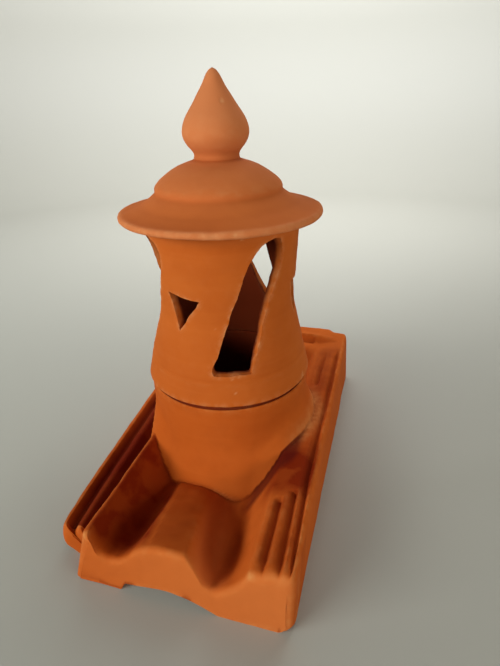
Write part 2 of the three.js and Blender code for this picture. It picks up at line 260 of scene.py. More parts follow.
# Painted shade on the sheet: how near its top a point lies that is on it, how the painted shade fades in from
# the nose, the rim and the rib, and where it lies in the left pan, on the rib, in the right pan, on the roll
# and beside the collar
SHEET_OVER = 3
SHEET_UNDER = 6
SHEET_FROM_FLUE = 5
NOSE_EDGE = (2, 16)
RIM_EDGE = (1, 4)
RIB_EDGE = (1, 8)
RIB_LEFT_X = (-23, -6)
RIB_RIGHT_X = (6, 27)
LEFT_PAN_SHADE = 1.0
RIB_SHADE = 0.3
STRIPE_X = (48, 54)
STRIPE_HALF = 9
STRIPE_SHADE = 0.45
ROLL_ACROSS = (74, 12, 112, 6)
ROLL_SHADE = 0.4
BESIDE_ACROSS = (60, 14, 113, 4)
BESIDE_RUN = (-132, 26, -10, 70)
BESIDE_SHADE = 1.0

# Painted shade in the side lock, and near-black painted shade in the lock, the flue, the seam, the cleft by
# the collar and the lantern
LOCK_SHADE = 1.0
LOCK_FROM_COLLAR = 1
LOCK_INSIDE_SHADE = 0.5
FLUE_SHADE_REACH = 2
SEAM_SHADE_RADIUS = COLLAR_TOP_RADIUS - COLLAR_EDGE / 2
SEAM_SHADE_Z = SEAM_Z - 3 * COLLAR_EDGE
CLEFT = (22, 14)
CLEFT_ACROSS = (40, 16, 96, 10)
CLEFT_SHADE = 0.95
LANTERN_SHADE_DEPTH = (LANTERN_WALL / 2, LANTERN_WALL - 1)

# Lighter tone: paler on the edge of the nose, more to the right, and painted light down the right flank of
# the rib and on the hat and its brim
NOSE_PALE_X = (-150, 100)
NOSE_PALE_Y = (NOSE_Y + 5, NOSE_Y + 1)
FLANK_WIDTH = 36
FLANK_PAINTED_LIGHT = 0.9
HAT_PAINTED_LIGHT_Z = (150, 250)
BRIM_PAINTED_LIGHT_RADIUS = (90, 95)
BRIM_PAINTED_LIGHT = 0.75

# Painted highlight where the collar joins the roll, and pale chips on the edge of the nose: place and size
JOINT_HIGHLIGHT = 0.9
JOINT_HIGHLIGHT_RUN = (-70, 40, 70, 40)
JOINT_HIGHLIGHT_ACROSS = (66, 84)
JOINT_HIGHLIGHT_WIDTH = 12
JOINT_HIGHLIGHT_ON_COLLAR = 8
CHIPS = (
    ((-66, NOSE_Y + 1, 60), 6),
    ((80, NOSE_Y + 2, 60), 6),
)

# Relief: how often a bend is spread to its neighbours, and the bends that make a full edge and a full hollow
SPREAD_ROUNDS = 3
EDGE_BEND = 0.22
HOLLOW_BEND = 0.16
TINY_LENGTH = 1e-6

# Fineness of the surfaces
ROW = 2.0
INSIDE_ROW = 4.5
LOCK_OUTSIDE_ROW = 0.6
ROUND_SIDES = 240
EDGE_STEPS = 6
OUTLINE_STEPS = 40
CUTTER_STEPS = 22
SHARP_ANGLE = math.radians(38)

# Grids of the sheet and the side lock: where their spacing changes, and the spacings in between
SHEET_ACROSS = (RIM_X, RIM_X + 6, 76, CREST_X, EDGE_X)
SHEET_ACROSS_STEPS = (0.8, 1.9, 1.0, 0.6)
SHEET_ALONG = (NOSE_Y, NOSE_Y + 7, -100, 140, HEAD_Y - 5, HEAD_Y)
SHEET_ALONG_STEPS = (0.7, 1.7, 3, 1.7, 0.8)
LOCK_ACROSS = (0.8, LOCK_WIDTH)
LOCK_ACROSS_STEPS = (1.4,)
LOCK_ALONG = (LOCK_START_Y, LOCK_START_Y + 6, LOCK_END_Y)
LOCK_ALONG_STEPS = (0.75, 2.8)


def mix(a, b, t):
    """Value a share t of the way from a to b."""
    return a + (b - a) * t


def share(a, b, value):
    """How far value is from a to b, held between 0 and 1."""
    return np.clip((value - a) / (b - a), 0, 1)


def ease(t):
    """Share t with a soft start and end."""
    return t * t * (3 - 2 * t)


def rounded(distance, radius):
    """Drop of a quarter-round edge at a distance in from it: radius at the edge, 0 from radius on."""
    inset = np.clip(radius - distance, 0, radius)
    return radius - np.sqrt(radius * radius - inset * inset)


def knot_height(knots, x):
    """Height at x on a line of (place, height) knots, eased from knot to knot, so it is level at each."""
    z = np.zeros_like(x) + knots[0][1]
    for (x0, z0), (x1, z1) in zip(knots, knots[1:]):
        z = np.where(x > x0, mix(z0, z1, ease(share(x0, x1, x))), z)
    return z


def cubic(t, a, b, slope_a, slope_b):
    """Cubic from a to b as t goes from 0 to 1, with the given slopes at its ends."""
    run = (2 * t**3 - 3 * t**2 + 1) * a + (t**3 - 2 * t**2 + t) * slope_a
    return run + (3 * t**2 - 2 * t**3) * b + (t**3 - t**2) * slope_b


def smooth_height(places, heights, x):
    """Height at x on a smooth line through knots: cubics whose slope at a knot is the harmonic mean of the
    slopes on either side of it, or 0 where it is a crest or a floor."""
    slopes = [(b - a) / (q - p) for p, q, a, b in zip(places, places[1:], heights, heights[1:])]
    turns = [slopes[0] * 0]
    for before, after in zip(slopes, slopes[1:]):
        same = before * after > 0
        turns.append(np.where(same, 2 * before * after / np.where(same, before + after, 1), 0))
    turns.append(slopes[0] * 0)
    z = heights[0] + x * 0
    for k, start in enumerate(places[:-1]):
        length = places[k + 1] - start
        t = share(start, places[k + 1], x)
        part = cubic(t, heights[k], heights[k + 1], turns[k] * length, turns[k + 1] * length)
        z = np.where(x > start, part, z)
    return z


def run_share(run, place):
    """1 along a run of (start, fade, end, fade), eased to 0 over the fades at its ends."""
    start, start_fade, end, end_fade = run
    return ease(share(start, start + start_fade, place)) * ease(share(end, end - end_fade, place))


def trough(distance, half):
    """Section of a round groove: 1 in its middle, falling to 0 at its edges by the square of the distance."""
    return 1 - np.clip(np.abs(distance) / half, 0, 1) ** 2


def sunk_groove(left, right, x):
    """Section of a pressed groove: sinks by a power of the distance to its deepest line, near its right edge,
    where it climbs steeply."""
    t = share(left, right, x)
    sinking = (t / GROOVE_DEEPEST) ** GROOVE_SLOPE
    climbing = ease(share(1, GROOVE_DEEPEST, t))
    return np.where(t < GROOVE_DEEPEST, sinking, climbing)


def stations(ends, spacings):
    """Places from the first end to the last, with each run from end to end divided at about its spacing."""
    runs = zip(ends, ends[1:], spacings)
    parts = [np.linspace(a, b, max(1, round((b - a) / step)), endpoint=False) for a, b, step in runs]
    return np.concatenate([*parts, [ends[-1]]])


def curve(points, row=ROW):
    """Smooth line through the points, about a row apart: each stretch is the cubic whose slope at a point is
    half the span of that point's neighbours."""
    p = np.array(points, float)
    padded = np.vstack([2 * p[0] - p[1], p, 2 * p[-1] - p[-2]])
    slopes = (padded[2:] - padded[:-2]) / 2
    runs = []
    for a, b, slope_a, slope_b in zip(p, p[1:], slopes, slopes[1:]):
        count = max(1, math.ceil(np.linalg.norm(b - a) / row))
        runs.append(cubic((np.arange(count) / count)[:, None], a, b, slope_a, slope_b))
    return np.vstack([*runs, p[-1:]])


def straight(points, row=ROW):
    """Straight stretches between the points, about a row apart."""
    p = np.array(points, float)
    runs = []
    for a, b in zip(p, p[1:]):
        count = max(1, math.ceil(np.linalg.norm(b - a) / row))
        runs.append(mix(a, b, (np.arange(count) / count)[:, None]))
    return np.vstack([*runs, p[-1:]])


def waves(points, length, count):
    """Soft random swell over space: a sum of sine waves of about the given length in random directions."""
    directions = RNG.normal(size=(count, 3))
    directions /= np.linalg.norm(directions, axis=1)[:, None]
    lengths = length * RNG.uniform(*WAVE_SPREAD, count)
    phases = RNG.uniform(0, 2 * np.pi, count)
    turns = points @ (2 * np.pi * directions / lengths[:, None]).T + phases
    return np.sin(turns).sum(axis=1) / math.sqrt(count)


def mesh_object(name, vertices, faces):
    """Object at the origin whose mesh holds vertices given in millimetres from the flue, in the frame."""
    mesh = bpy.data.meshes.new(name)
    mesh.from_pydata(np.asarray(vertices) * MM + FLUE_AXIS, [], faces)
    mesh.update()
    made = bpy.data.objects.new(name, mesh)
    bpy.context.scene.collection.objects.link(made)
    return made


def grid_faces(rows, columns, wrap_rows=False, wrap_columns=False):
    """Quads of a grid of points numbered row by row, closed round its rows or columns where asked."""
    r = np.arange(rows if wrap_rows else rows - 1)[:, None]
    c = np.arange(columns if wrap_columns else columns - 1)[None, :]
    up = (r + 1) % rows
    on = (c + 1) % columns
    corners = [r * columns + c, r * columns + on, up * columns + on, up * columns + c]
    return np.stack([np.broadcast_to(k, (r.size, c.size)) for k in corners], -1).reshape(-1, 4)


def slab(name, top, bottom):
    """Closed slab between two grids of points, each an array of rows along Y and columns along X."""
    rows, columns, _ = top.shape
    count = rows * columns
    index = np.arange(count).reshape(rows, columns)
    over = grid_faces(rows, columns)
    under = over[:, ::-1] + count
    rim = np.concatenate([index[0, :-1], index[:-1, -1], index[-1, :0:-1], index[:0:-1, 0]])
    after = np.roll(rim, -1)
    sides = np.stack([rim + count, after + count, after, rim], -1)
    vertices = np.vstack([top.reshape(-1, 3), bottom.reshape(-1, 3)])
    return mesh_object(name, vertices, np.vstack([over, under, sides]).tolist())


def ring_points(profile, angles):
    """Each (radius, height) of the profile carried round the flue at the angles, which start at the nose."""
    radius, height = np.asarray(profile).T[:, :, None]
    flat = np.ones_like(angles)
    return np.stack([radius * np.sin(angles), -radius * np.cos(angles), height * flat], -1)


def even_angles():
    """Angles of the sides of a turned piece, once round."""
    return np.arange(ROUND_SIDES) * 2 * np.pi / ROUND_SIDES


def turned_ring(name, profile, settle):
    """Ring of revolution whose profile closes on itself, with its points moved by settle(points)."""
    points = settle(ring_points(profile, even_angles()).reshape(-1, 3))
    faces = grid_faces(len(profile), ROUND_SIDES, wrap_rows=True, wrap_columns=True)
    return mesh_object(name, points, faces.tolist())


def turned_body(name, profile):
    """Body of revolution whose profile starts and ends on the axis, each end closed by a fan to one point."""
    rings = ring_points(profile[1:-1], even_angles())
    rows = len(profile) - 2
    first = rows * ROUND_SIDES
    poles = [[0, 0, profile[0][1]], [0, 0, profile[-1][1]]]
    k = np.arange(ROUND_SIDES)
    after = (k + 1) % ROUND_SIDES
    last_row = (rows - 1) * ROUND_SIDES
    start_fan = np.stack([np.full_like(k, first), after, k], -1)
    end_fan = np.stack([k + last_row, after + last_row, np.full_like(k, first + 1)], -1)
    wall = grid_faces(rows, ROUND_SIDES, wrap_columns=True)
    faces = wall.tolist() + start_fan.tolist() + end_fan.tolist()
    return mesh_object(name, np.vstack([rings.reshape(-1, 3), poles]), faces)


def combine(target, other, operation):
    """Joins the other solid to the target, or cuts it out of it, and removes it."""
    modifier = target.modifiers.new("combine", "BOOLEAN")
    modifier.operation = operation
    modifier.solver = "MANIFOLD"
    modifier.object = other
    depsgraph = bpy.context.evaluated_depsgraph_get()
    made = bpy.data.meshes.new_from_object(target.evaluated_get(depsgraph))
    target.modifiers.clear()
    target.data = made
    bpy.data.objects.remove(other)


def read_points(target):
    """Points of a mesh in millimetres from the flue."""
    points = np.empty(len(target.data.vertices) * 3)
    target.data.vertices.foreach_get("co", points)
    return (points.reshape(-1, 3) - FLUE_AXIS) / MM


def write_points(target, points):
    """Puts points given in millimetres from the flue back into a mesh."""
    target.data.vertices.foreach_set("co", (points * MM + FLUE_AXIS).ravel())
    target.data.update()


def read_normals(target):
    """Normals of a mesh at its points."""
    normals = np.empty(len(target.data.vertices) * 3)
    target.data.vertex_normals.foreach_get("vector", normals)
    return normals.reshape(-1, 3)


def roughen(target, swells):
    """Moves each point along its normal by swells of (height, wave length, number of waves), and none below
    the ground."""
    points = read_points(target)
    moved = sum(height * waves(points, length, count) for height, length, count in swells)
    points = points + read_normals(target) * moved[:, None]
    points[:, 2] = np.maximum(points[:, 2], 0)
    write_points(target, points)


def store(target, name, values):
    """Stores a value at each point as an attribute that the finish reads."""
    attribute = target.data.attributes.new(name, "FLOAT", "POINT")
    attribute.data.foreach_set("value", values.astype(np.float32))


def store_relief(target):
    """Stores how sharply the surface bends out at each point as 'edge', and how sharply in as 'hollow': the
    mean over the edges of a point of the drop to their far ends, over their lengths, spread to its
    neighbours. The feet have no hollows."""
    points = read_points(target)
    normals = read_normals(target)
    edges = np.empty(len(target.data.edges) * 2, np.int32)
    target.data.edges.foreach_get("vertices", edges)
    start, end = edges.reshape(-1, 2).T
    count = len(points)
    step = points[start] - points[end]
    length = np.linalg.norm(step, axis=1) + TINY_LENGTH
    drop_start = 2 * (step * normals[start]).sum(axis=1) / length
    drop_end = -2 * (step * normals[end]).sum(axis=1) / length
    reach = np.bincount(start, length, count) + np.bincount(end, length, count)
    bend = (np.bincount(start, drop_start, count) + np.bincount(end, drop_end, count)) / reach
    degree = np.bincount(edges, minlength=count)
    bend = np.clip(bend, -1, 1)
    for _ in range(SPREAD_ROUNDS):
        bend = (np.bincount(start, bend[end], count) + np.bincount(end, bend[start], count)) / degree
    store(target, "edge", np.clip(bend / EDGE_BEND, 0, 1))
    store(target, "hollow", np.clip(-bend / HOLLOW_BEND, 0, 1) * (points[:, 2] > FACE_FOOT))


def crisp(target):
    """Smooth shading with the sharp edges kept."""
    target.data.shade_smooth()
    target.data.set_sharp_from_angle(angle=SHARP_ANGLE)


def top_height(x, y):
    """Top of the tile: a section whose knots move along the tile, filled up at the head, less the grooves."""
    rise = share(NOSE_RISE_START_Y, NOSE_Y, y)
    scoop = ease(share(SCOOP_START_Y, NOSE_Y, y))
    head = ease(share(*HEAD_SLOPE_Y, y))
    lock = ease(share(HEAD_GROOVE_Y - HEAD_GROOVE_HALF, HEAD_GROOVE_Y + HEAD_GROOVE_HALF, y))
    head_top = mix(HEAD_Z, HEAD_LOCK_Z, lock)
    places = [mix(collar[0], nose[0], rise) for collar, nose, _ in SECTION]
    heights = [mix(collar[1], nose[1], mix(scoop, rise, even)) for collar, nose, even in SECTION]
    filled = [mix(height, head_top, head) for height in heights[1:-2]]
    shoulder = mix(heights[-2], HEAD_LOCK_Z, lock)
    z = smooth_height(places, [heights[0], *filled, shoulder, heights[-1]], x)
    over = share(CREST_X, EDGE_X, x)
    z = z - (CREST_Z - EDGE_Z) * (1 - np.sqrt(1 - over * over))
    for left, right, depth, run in ROLL_GROOVES:
        z = z - depth * sunk_groove(mix(*left, rise), mix(*right, rise), x) * run_share(run, y)
    across = run_share(HEAD_GROOVE_RUN, x)
    return z - HEAD_GROOVE_DEPTH * trough(y - HEAD_GROOVE_Y, HEAD_GROOVE_HALF) * across


def arch_height(x):
    """Lower edge of the nose: a slanted step up on the left, a low crown and a long fall to the right."""
    start, end = ARCH_X
    step = ease(share(start, start + ARCH_STEP, x))
    rising = mix(ARCH_STEP_Z, ARCH_CROWN_Z, ease(share(start, ARCH_CROWN_X, x)))
    falling = ARCH_CROWN_Z * (1 - share(ARCH_CROWN_X, end, x) ** ARCH_FALL)
    return step * np.where(x < ARCH_CROWN_X, rising, falling)


def under_height(x, y):
    """Underside: the arch in the nose, feet under the walls and the head, and a hollow under the sheet."""
    in_wall = (x < RIM_X + SIDE_WALL) | (x > CREST_X - SIDE_WALL) | (y > HEAD_Y - NOSE_LIP)
    hollow = np.where(in_wall, 0, np.maximum(top_height(x, y) - SHEET_THICKNESS, 0))
    corner = rounded(EDGE_X - x, FOOT_CORNER) * (1 - ease(share(NOSE_Y, NOSE_Y + NOSE_LIP, y)))
    return np.where(y < NOSE_Y + NOSE_LIP, arch_height(x), hollow) + corner


def tile_sheet():
    """Pressed sheet: top and underside over one grid, closer spaced at the edges and grooves. Its left wall
    splays at the nose, its front corners are rounded, and its roll stops short of the head lock. Its first
    rows climb the face of the nose."""
    across = stations(SHEET_ACROSS, SHEET_ACROSS_STEPS)
    x, y = np.meshgrid(across, stations(SHEET_ALONG, SHEET_ALONG_STEPS))
    round_off = ease(share(HEAD_LOCK_END_X - HEAD_LOCK_ROUND, HEAD_LOCK_END_X, x))
    end = mix(HEAD_Y, ROLL_END_Y, round_off) - rounded(EDGE_X - x, ROLL_CORNER)
    slope_end = HEAD_SLOPE_Y[1]
    along = np.where(y > slope_end, mix(slope_end, end, share(slope_end, HEAD_Y, y)), y)
    fall = rounded(y - NOSE_Y, NOSE_ROUND) + rounded(HEAD_Y - y, HEAD_ROUND) + rounded(x - RIM_X, RIM_ROUND)
    tuck = rounded(y - NOSE_Y, CORNER_ROUND)
    shift = tuck * (1 - share(0, CORNER_REACH, x - RIM_X)) - tuck * share(EDGE_X - CORNER_REACH, EDGE_X, x)
    top = np.stack([x + shift, along, top_height(x, y) - fall], -1)
    foot_x = mix(*WALL_FOOT_X, share(NOSE_Y, HEAD_Y, y))
    splay = np.where(y < LOCK_START_Y, RIM_FOOT_X, RIM_X)
    low_x = np.where(x <= RIM_X, splay, np.where(x >= EDGE_X, foot_x, x))
    behind = mix(NOSE_Y + FACE_UNDER, HEAD_Y, (along - NOSE_Y) / (HEAD_Y - NOSE_Y))
    bottom = np.stack([low_x + shift, behind, under_height(x, y)], -1)
    climb = (np.arange(FACE_ROWS) / FACE_ROWS)[:, None, None]
    foot = bottom[:1] * [1, 0, 1] + [0, NOSE_Y, 0]
    face = mix(foot + [0, 0, FACE_FOOT], top[:1], climb)
    sole = foot + climb * [0, FACE_UNDER, 0]
    return slab("tile_sheet", np.concatenate([face, top]), np.concatenate([sole, bottom]))


def side_lock():
    """Low flange on the left: a bulging outside, lip, channel, rib and inner channel across it, bowed in and
    down to the nose. Its columns run up the outside first and then across the top."""
    outside = curve(LOCK_OUTSIDE, LOCK_OUTSIDE_ROW)
    column = np.concatenate([np.arange(-len(outside), 0), stations(LOCK_ACROSS, LOCK_ACROSS_STEPS)])
    column, y = np.meshgrid(column, stations(LOCK_ALONG, LOCK_ALONG_STEPS))
    along = share(LOCK_START_Y, LOCK_END_Y, y)
    outer = mix(*LOCK_OUTER_X, np.sqrt(along))
    lip = mix(*LOCK_Z, share(0, LOCK_RISE_END, along))
    on_top = column >= 0
    step = np.where(on_top, column, 0)
    climb = np.where(on_top, 0, column + len(outside)).astype(int)
    knots = (
        (LOCK_LIP, lip),
        (LOCK_CHANNEL, lip - LOCK_CHANNEL_DEPTH),
        (LOCK_RIB - LOCK_RIB_HALF, lip + LOCK_RIB_Z),
        (LOCK_RIB + LOCK_RIB_HALF, lip + LOCK_RIB_Z),
        (LOCK_INNER_CHANNEL, lip - LOCK_CHANNEL_DEPTH),
        (LOCK_SHOULDER, lip),
        (LOCK_WIDTH, LOCK_SIDE_Z),
    )
    bulge = 1 - ease(share(0, LOCK_BULGE_END, y - LOCK_START_Y)) / 2
    side_x = outer + np.where(outside[climb, 0] < 0, outside[climb, 0] * bulge, outside[climb, 0])
    from_end = rounded(y - LOCK_START_Y, LOCK_END_ROUND)
    top_x = np.where(on_top, mix(outer, LOCK_INNER_X, step / LOCK_WIDTH), side_x)
    top_z = np.where(on_top, knot_height(knots, step) - from_end, outside[climb, 1] * (lip - from_end))
    draw_in = from_end * (1 - step / LOCK_WIDTH)
    top = np.stack([top_x + draw_in, y, top_z], -1)
    at_end = (y == LOCK_START_Y) | (y == LOCK_END_Y)
    hollow = (step > LOCK_WALL) & (step < LOCK_WIDTH) & ~at_end
    foot_share = (column + len(outside)) / (LOCK_WIDTH + len(outside))
    foot = mix(outer + LOCK_FOOT_INSET, LOCK_INNER_X, foot_share)
    foot_z = np.where(hollow, lip - LOCK_CHANNEL_DEPTH - SHEET_THICKNESS, 0)
    bottom = np.stack([foot + draw_in, y, foot_z], -1)
    return slab("side_lock", top, bottom)


def collar_rise(x):
    """How much higher the flare of the collar starts over the rim and the roll than over the pans."""
    return COLLAR_LIFT * (ease(share(*COLLAR_LIFT_LEFT_X, -x)) + ease(share(*COLLAR_LIFT_RIGHT_X, x)))


def joint_radius(x, z):
    """Distance from the flue at which the flare of the collar is at height z."""
    flare_radius, flare_z = np.array(COLLAR_FLARE[::-1]).T
    return np.interp(z - collar_rise(x), flare_z, flare_radius)


def settle_collar(points):
    """Lifts the flare over the rim and the roll, cuts it off flush with the outside of the rim, and lets the
    ledge under the lantern sag at the front right."""
    x, y, z = points.T
    radius = np.hypot(x, y)
    on_flare = (z > COLLAR_FOOT_Z) & (radius > FLUE_RADIUS + FLUE_SKIN)
    fade = 1 - ease(share(COLLAR_FLARE[0][1], COLLAR_NECK_Z, z))
    lift = np.where(on_flare, collar_rise(x) * fade, 0)
    towards = np.cos(np.arctan2(x, -y) - math.radians(SEAT_SAG_ANGLE))
    on_ledge = (radius > LEDGE_RADIUS) & (z > LEDGE_LOW_Z)
    sag = np.where(on_ledge, SEAT_SAG * (1 + towards) / 2, 0)
    wall = np.sqrt(np.maximum(COLLAR_TOP_RADIUS**2 - y * y, COLLAR_LEFT_X**2))
    flush_x = np.where(radius > COLLAR_TOP_RADIUS, np.maximum(x, -wall), x)
    return np.stack([flush_x, y, z + lift - sag], -1)


def collar_ring():
    """Collar: a round wall that flares out over the tile, with a ledge outside the seat of the lantern."""
    ledge_z = SEAM_Z - SEAT_STEP
    foot = [(FLUE_RADIUS, COLLAR_FOOT_Z), (COLLAR_FOOT_RADIUS, COLLAR_FOOT_Z)]
    flare = curve([(COLLAR_TOP_RADIUS, COLLAR_NECK_Z), *COLLAR_FLARE])[::-1]
    quarter = np.linspace(0, np.pi / 2, EDGE_STEPS)
    edge_radius = COLLAR_TOP_RADIUS - COLLAR_EDGE * (1 - np.cos(quarter))
    edge = np.stack([edge_radius, ledge_z - COLLAR_EDGE * (1 - np.sin(quarter))], -1)
    seat = [
        (SEAT_RADIUS + SEAT_STEP / 2, ledge_z),
        (SEAT_RADIUS, SEAM_Z),
        (FLUE_RADIUS + COLLAR_EDGE / 2, SEAM_Z),
    ]
    flue_wall = [(FLUE_RADIUS, SEAM_Z - COLLAR_EDGE / 2), (FLUE_RADIUS, COLLAR_FOOT_Z)]
    inner = straight(flue_wall, INSIDE_ROW)[:-1]
    return turned_ring("collar", np.vstack([foot, flare, edge, seat, inner]), settle_collar)


def flue_cutter():
    """Plain cylinder through the sheet inside the collar."""
    profile = np.array([[0, -SEAM_Z], [FLUE_RADIUS, -SEAM_Z], [FLUE_RADIUS, SEAM_Z], [0, SEAM_Z]])
    return turned_body("flue", profile)


class TilePlaces:
    """Points of the tile, and what the marks on them go by: how far they are from the flue and from the joint
    of the collar, how far the nose has risen, where the rib is, and which points are on top of the sheet."""

    def __init__(self, points):
        self.points = points
        self.x, self.y, self.z = points.T
        self.radius = np.hypot(self.x, self.y)
        self.top = top_height(self.x, self.y)
        self.from_joint = self.radius - joint_radius(self.x, self.top)
        self.rise = share(NOSE_RISE_START_Y, NOSE_Y, self.y)
        self.rib_left = mix(*RIB_LEFT_X, self.rise)
        self.rib_right = mix(*RIB_RIGHT_X, self.rise)
        near_top = (self.z < self.top + SHEET_OVER) & (self.z > self.top - SHEET_UNDER)
        outside_flue = self.radius > FLUE_RADIUS + SHEET_FROM_FLUE
        self.on_sheet = near_top & outside_flue & (self.x > RIM_X - SHEET_OVER)


def sheet_painted_shade(at):
    """Painted shade on the sheet: the strongest of that in the left pan, on the rib, down the right pan, on
    the roll and beside the collar, fading out at the nose and on the slope of the head."""
    left_pan = LEFT_PAN_SHADE * share(*RIM_EDGE, at.x - RIM_X) * share(*RIB_EDGE, at.rib_left - at.x)
    on_rib = (at.x > at.rib_left) * share(*RIB_EDGE, at.rib_right - at.x)
    rib = RIB_SHADE * on_rib * np.sqrt(at.rise)
    stripe = STRIPE_SHADE * trough(at.x - mix(*STRIPE_X, at.rise), STRIPE_HALF)
    roll = ROLL_SHADE * run_share(ROLL_ACROSS, at.x)
    beside = BESIDE_SHADE * run_share(BESIDE_ACROSS, at.x) * run_share(BESIDE_RUN, at.y)
    inside_ends = (1 - ease(share(*HEAD_SLOPE_Y, at.y))) * share(*NOSE_EDGE, at.y - NOSE_Y)
    return np.maximum.reduce([left_pan, rib, stripe, roll, beside]) * inside_ends


def lock_painted_shade(at):
    """Painted shade in the side lock, from its lip in to the rim and short of its ends."""
    low = (at.x < RIM_X + SHEET_OVER) & (at.z < LOCK_SIDE_Z + SHEET_OVER)
    outside_collar = at.radius > COLLAR_TOP_RADIUS + LOCK_FROM_COLLAR
    inside_ends = (at.y > LOCK_START_Y + LOCK_END_ROUND) & (at.y < LOCK_END_Y - LOCK_END_ROUND)
    lip_x = mix(*LOCK_OUTER_X, np.sqrt(share(LOCK_START_Y, LOCK_END_Y, at.y))) + LOCK_LIP
    from_lip = share(0, LOCK_CHANNEL - LOCK_LIP, at.x - lip_x)
    return LOCK_SHADE * from_lip * (low & outside_collar & inside_ends)


def tile_inside_shade(at, lock):
    """Near-black painted shade: full in the flue and in the seam under the lantern, less in the cleft in
    front of the collar, and least where the lock has painted shade."""
    in_flue = (at.radius < FLUE_RADIUS + FLUE_SHADE_REACH) & (at.z > COLLAR_FOOT_Z)
    in_seam = (at.radius < SEAM_SHADE_RADIUS) & (at.z > SEAM_SHADE_Z)
    cleft = CLEFT_SHADE * share(*CLEFT, np.abs(at.from_joint)) * run_share(CLEFT_ACROSS, at.x)
    in_front = (at.y < 0) & (np.abs(at.z - at.top) < SHEET_OVER)
    return np.maximum.reduce([in_flue | in_seam, cleft * in_front, LOCK_INSIDE_SHADE * lock])


def tile_lighter_tone(at):
    """Paler on the nose edge, more to the right, and painted light down the right flank of the rib in front.
    """
    nose = share(*NOSE_PALE_Y, at.y) * share(*NOSE_PALE_X, at.x)
    from_rib = at.x - at.rib_right
    flank = share(*RIB_EDGE, from_rib) * share(FLANK_WIDTH, FLANK_WIDTH / 2, from_rib)
    return np.maximum(nose, FLANK_PAINTED_LIGHT * flank * at.on_sheet * (at.y < 0))


def pale_clay_and_highlight(at):
    """Painted highlight along the joint of the collar and the roll, and pale clay in the chips of the nose.
    """
    beside = share(JOINT_HIGHLIGHT_WIDTH, 0, at.from_joint) * share(-JOINT_HIGHLIGHT_ON_COLLAR, 0, at.from_joint)
    joint = beside * ease(share(*JOINT_HIGHLIGHT_ACROSS, at.x)) * run_share(JOINT_HIGHLIGHT_RUN, at.y)
    joint_highlight = JOINT_HIGHLIGHT * joint * (at.z > at.top - SHEET_OVER)
    chips = [ease(share(size, 0, np.linalg.norm(at.points - place, axis=1))) for place, size in CHIPS]
    return np.maximum.reduce([joint_highlight, *chips])


def store_tile_marks(tile):
    """Stores the tile's painted shade as 'shade', its darker painted shade as 'inside', its lighter tone, and
    its pale chips and painted highlight.
    """
    at = TilePlaces(read_points(tile))
    lock = lock_painted_shade(at)
    store(tile, "shade", np.where(at.on_sheet, sheet_painted_shade(at), lock))
    store(tile, "inside", tile_inside_shade(at, lock))
    store(tile, "lighter_tone", tile_lighter_tone(at))
    store(tile, "knock_and_highlight", pale_clay_and_highlight(at))


def vent_tile():
    """The tile as one piece of clay: sheet and side lock pierced by the flue, then the collar joined on."""
    tile = tile_sheet()
    roughen(tile, TILE_SWELLS)
    lock = side_lock()
    roughen(lock, LOCK_SWELLS)
    collar = collar_ring()
    roughen(collar, COLLAR_SWELLS)
    combine(tile, lock, "UNION")
    combine(tile, flue_cutter(), "DIFFERENCE")
    combine(tile, collar, "UNION")
    tile.name = "clay_vent_tile"
    crisp(tile)
    store_relief(tile)
    store_tile_marks(tile)
    return tile


def outer_profile():
    """Outside of the lantern from its lip to its tip."""
    foot = [
        (LANTERN_RADIUS - LIP_EDGE, 0),
        (LANTERN_RADIUS - LIP_EDGE / 3, LIP_EDGE / 3),
        (LANTERN_RADIUS, LIP_EDGE),
    ]
    band = straight([(LANTERN_RADIUS, LIP_EDGE), (BAND_RADIUS, BAND_Z)])[1:]
    waist = curve([(BAND_RADIUS - BAND_STEP, BAND_Z + BAND_STEP), *WAIST])
    hat = curve([*BRIM_EDGE, *BRIM_TOP, *DOME, *NECK, *FINIAL])
    tip = [(TIP_RADIUS, TIP_Z - TIP_RADIUS / 2), (0, TIP_Z)]
    return np.vstack([foot, band, waist, hat, tip])


def lantern_profile():
    """Line from the top of the cavity down the inside wall, round the lip and up the outside to the tip."""
    inside = [(LANTERN_RADIUS - LANTERN_WALL, 0), (BAND_RADIUS - LANTERN_WALL, BAND_Z)]
    inside += [(radius - LANTERN_WALL, height) for radius, height in WAIST[:-1]]
    cavity = curve([*inside, *CAVITY_DOME, (0, CAVITY_TOP_Z)], INSIDE_ROW)[::-1]
    return np.vstack([cavity, outer_profile()])


def knock_share(points):
    """1 in the middle of a knock, falling to 0 at its edge, and how deep it is there."""
    level = np.zeros(len(points))
    depth = np.zeros(len(points))
    for angle, radius, height, size, deep in KNOCKS:
        turn = math.radians(angle)
        middle = [radius * math.sin(turn), -radius * math.cos(turn), LANTERN_Z + height]
        near = ease(np.clip(1 - np.linalg.norm(points - middle, axis=1) / size, 0, 1))
        level = np.maximum(level, near)
        depth = np.maximum(depth, deep * near)
    return level, depth


def leaf_outline(half):
    """Leaf: a flat sill with one round corner, straight sides and a round top, as (angle, height)."""
    sill, top = LEAF_Z
    t = np.linspace(0, 1, OUTLINE_STEPS)[:, None]
    corner_from = np.array([-half, sill + LEAF_CORNER_Z])
    corner = np.array([-half, sill])
    corner_to = np.array([LEAF_CORNER_ANGLE - half, sill])
    corner_run = (1 - t) ** 2 * corner_from + 2 * t * (1 - t) * corner + t**2 * corner_to
    turn = np.pi * t
    crown = np.hstack([half * np.cos(turn), LEAF_SHOULDER_Z + (top - LEAF_SHOULDER_Z) * np.sin(turn)])
    floor = mix(corner_to, np.array([half, sill]), t[:-1])
    right = mix(np.array([half, sill]), np.array([half, LEAF_SHOULDER_Z]), t[:-1])
    left = mix(np.array([-half, LEAF_SHOULDER_Z]), corner_from, t[:-1])
    return np.vstack([corner_run[:-1], floor, right, crown[:-1], left])


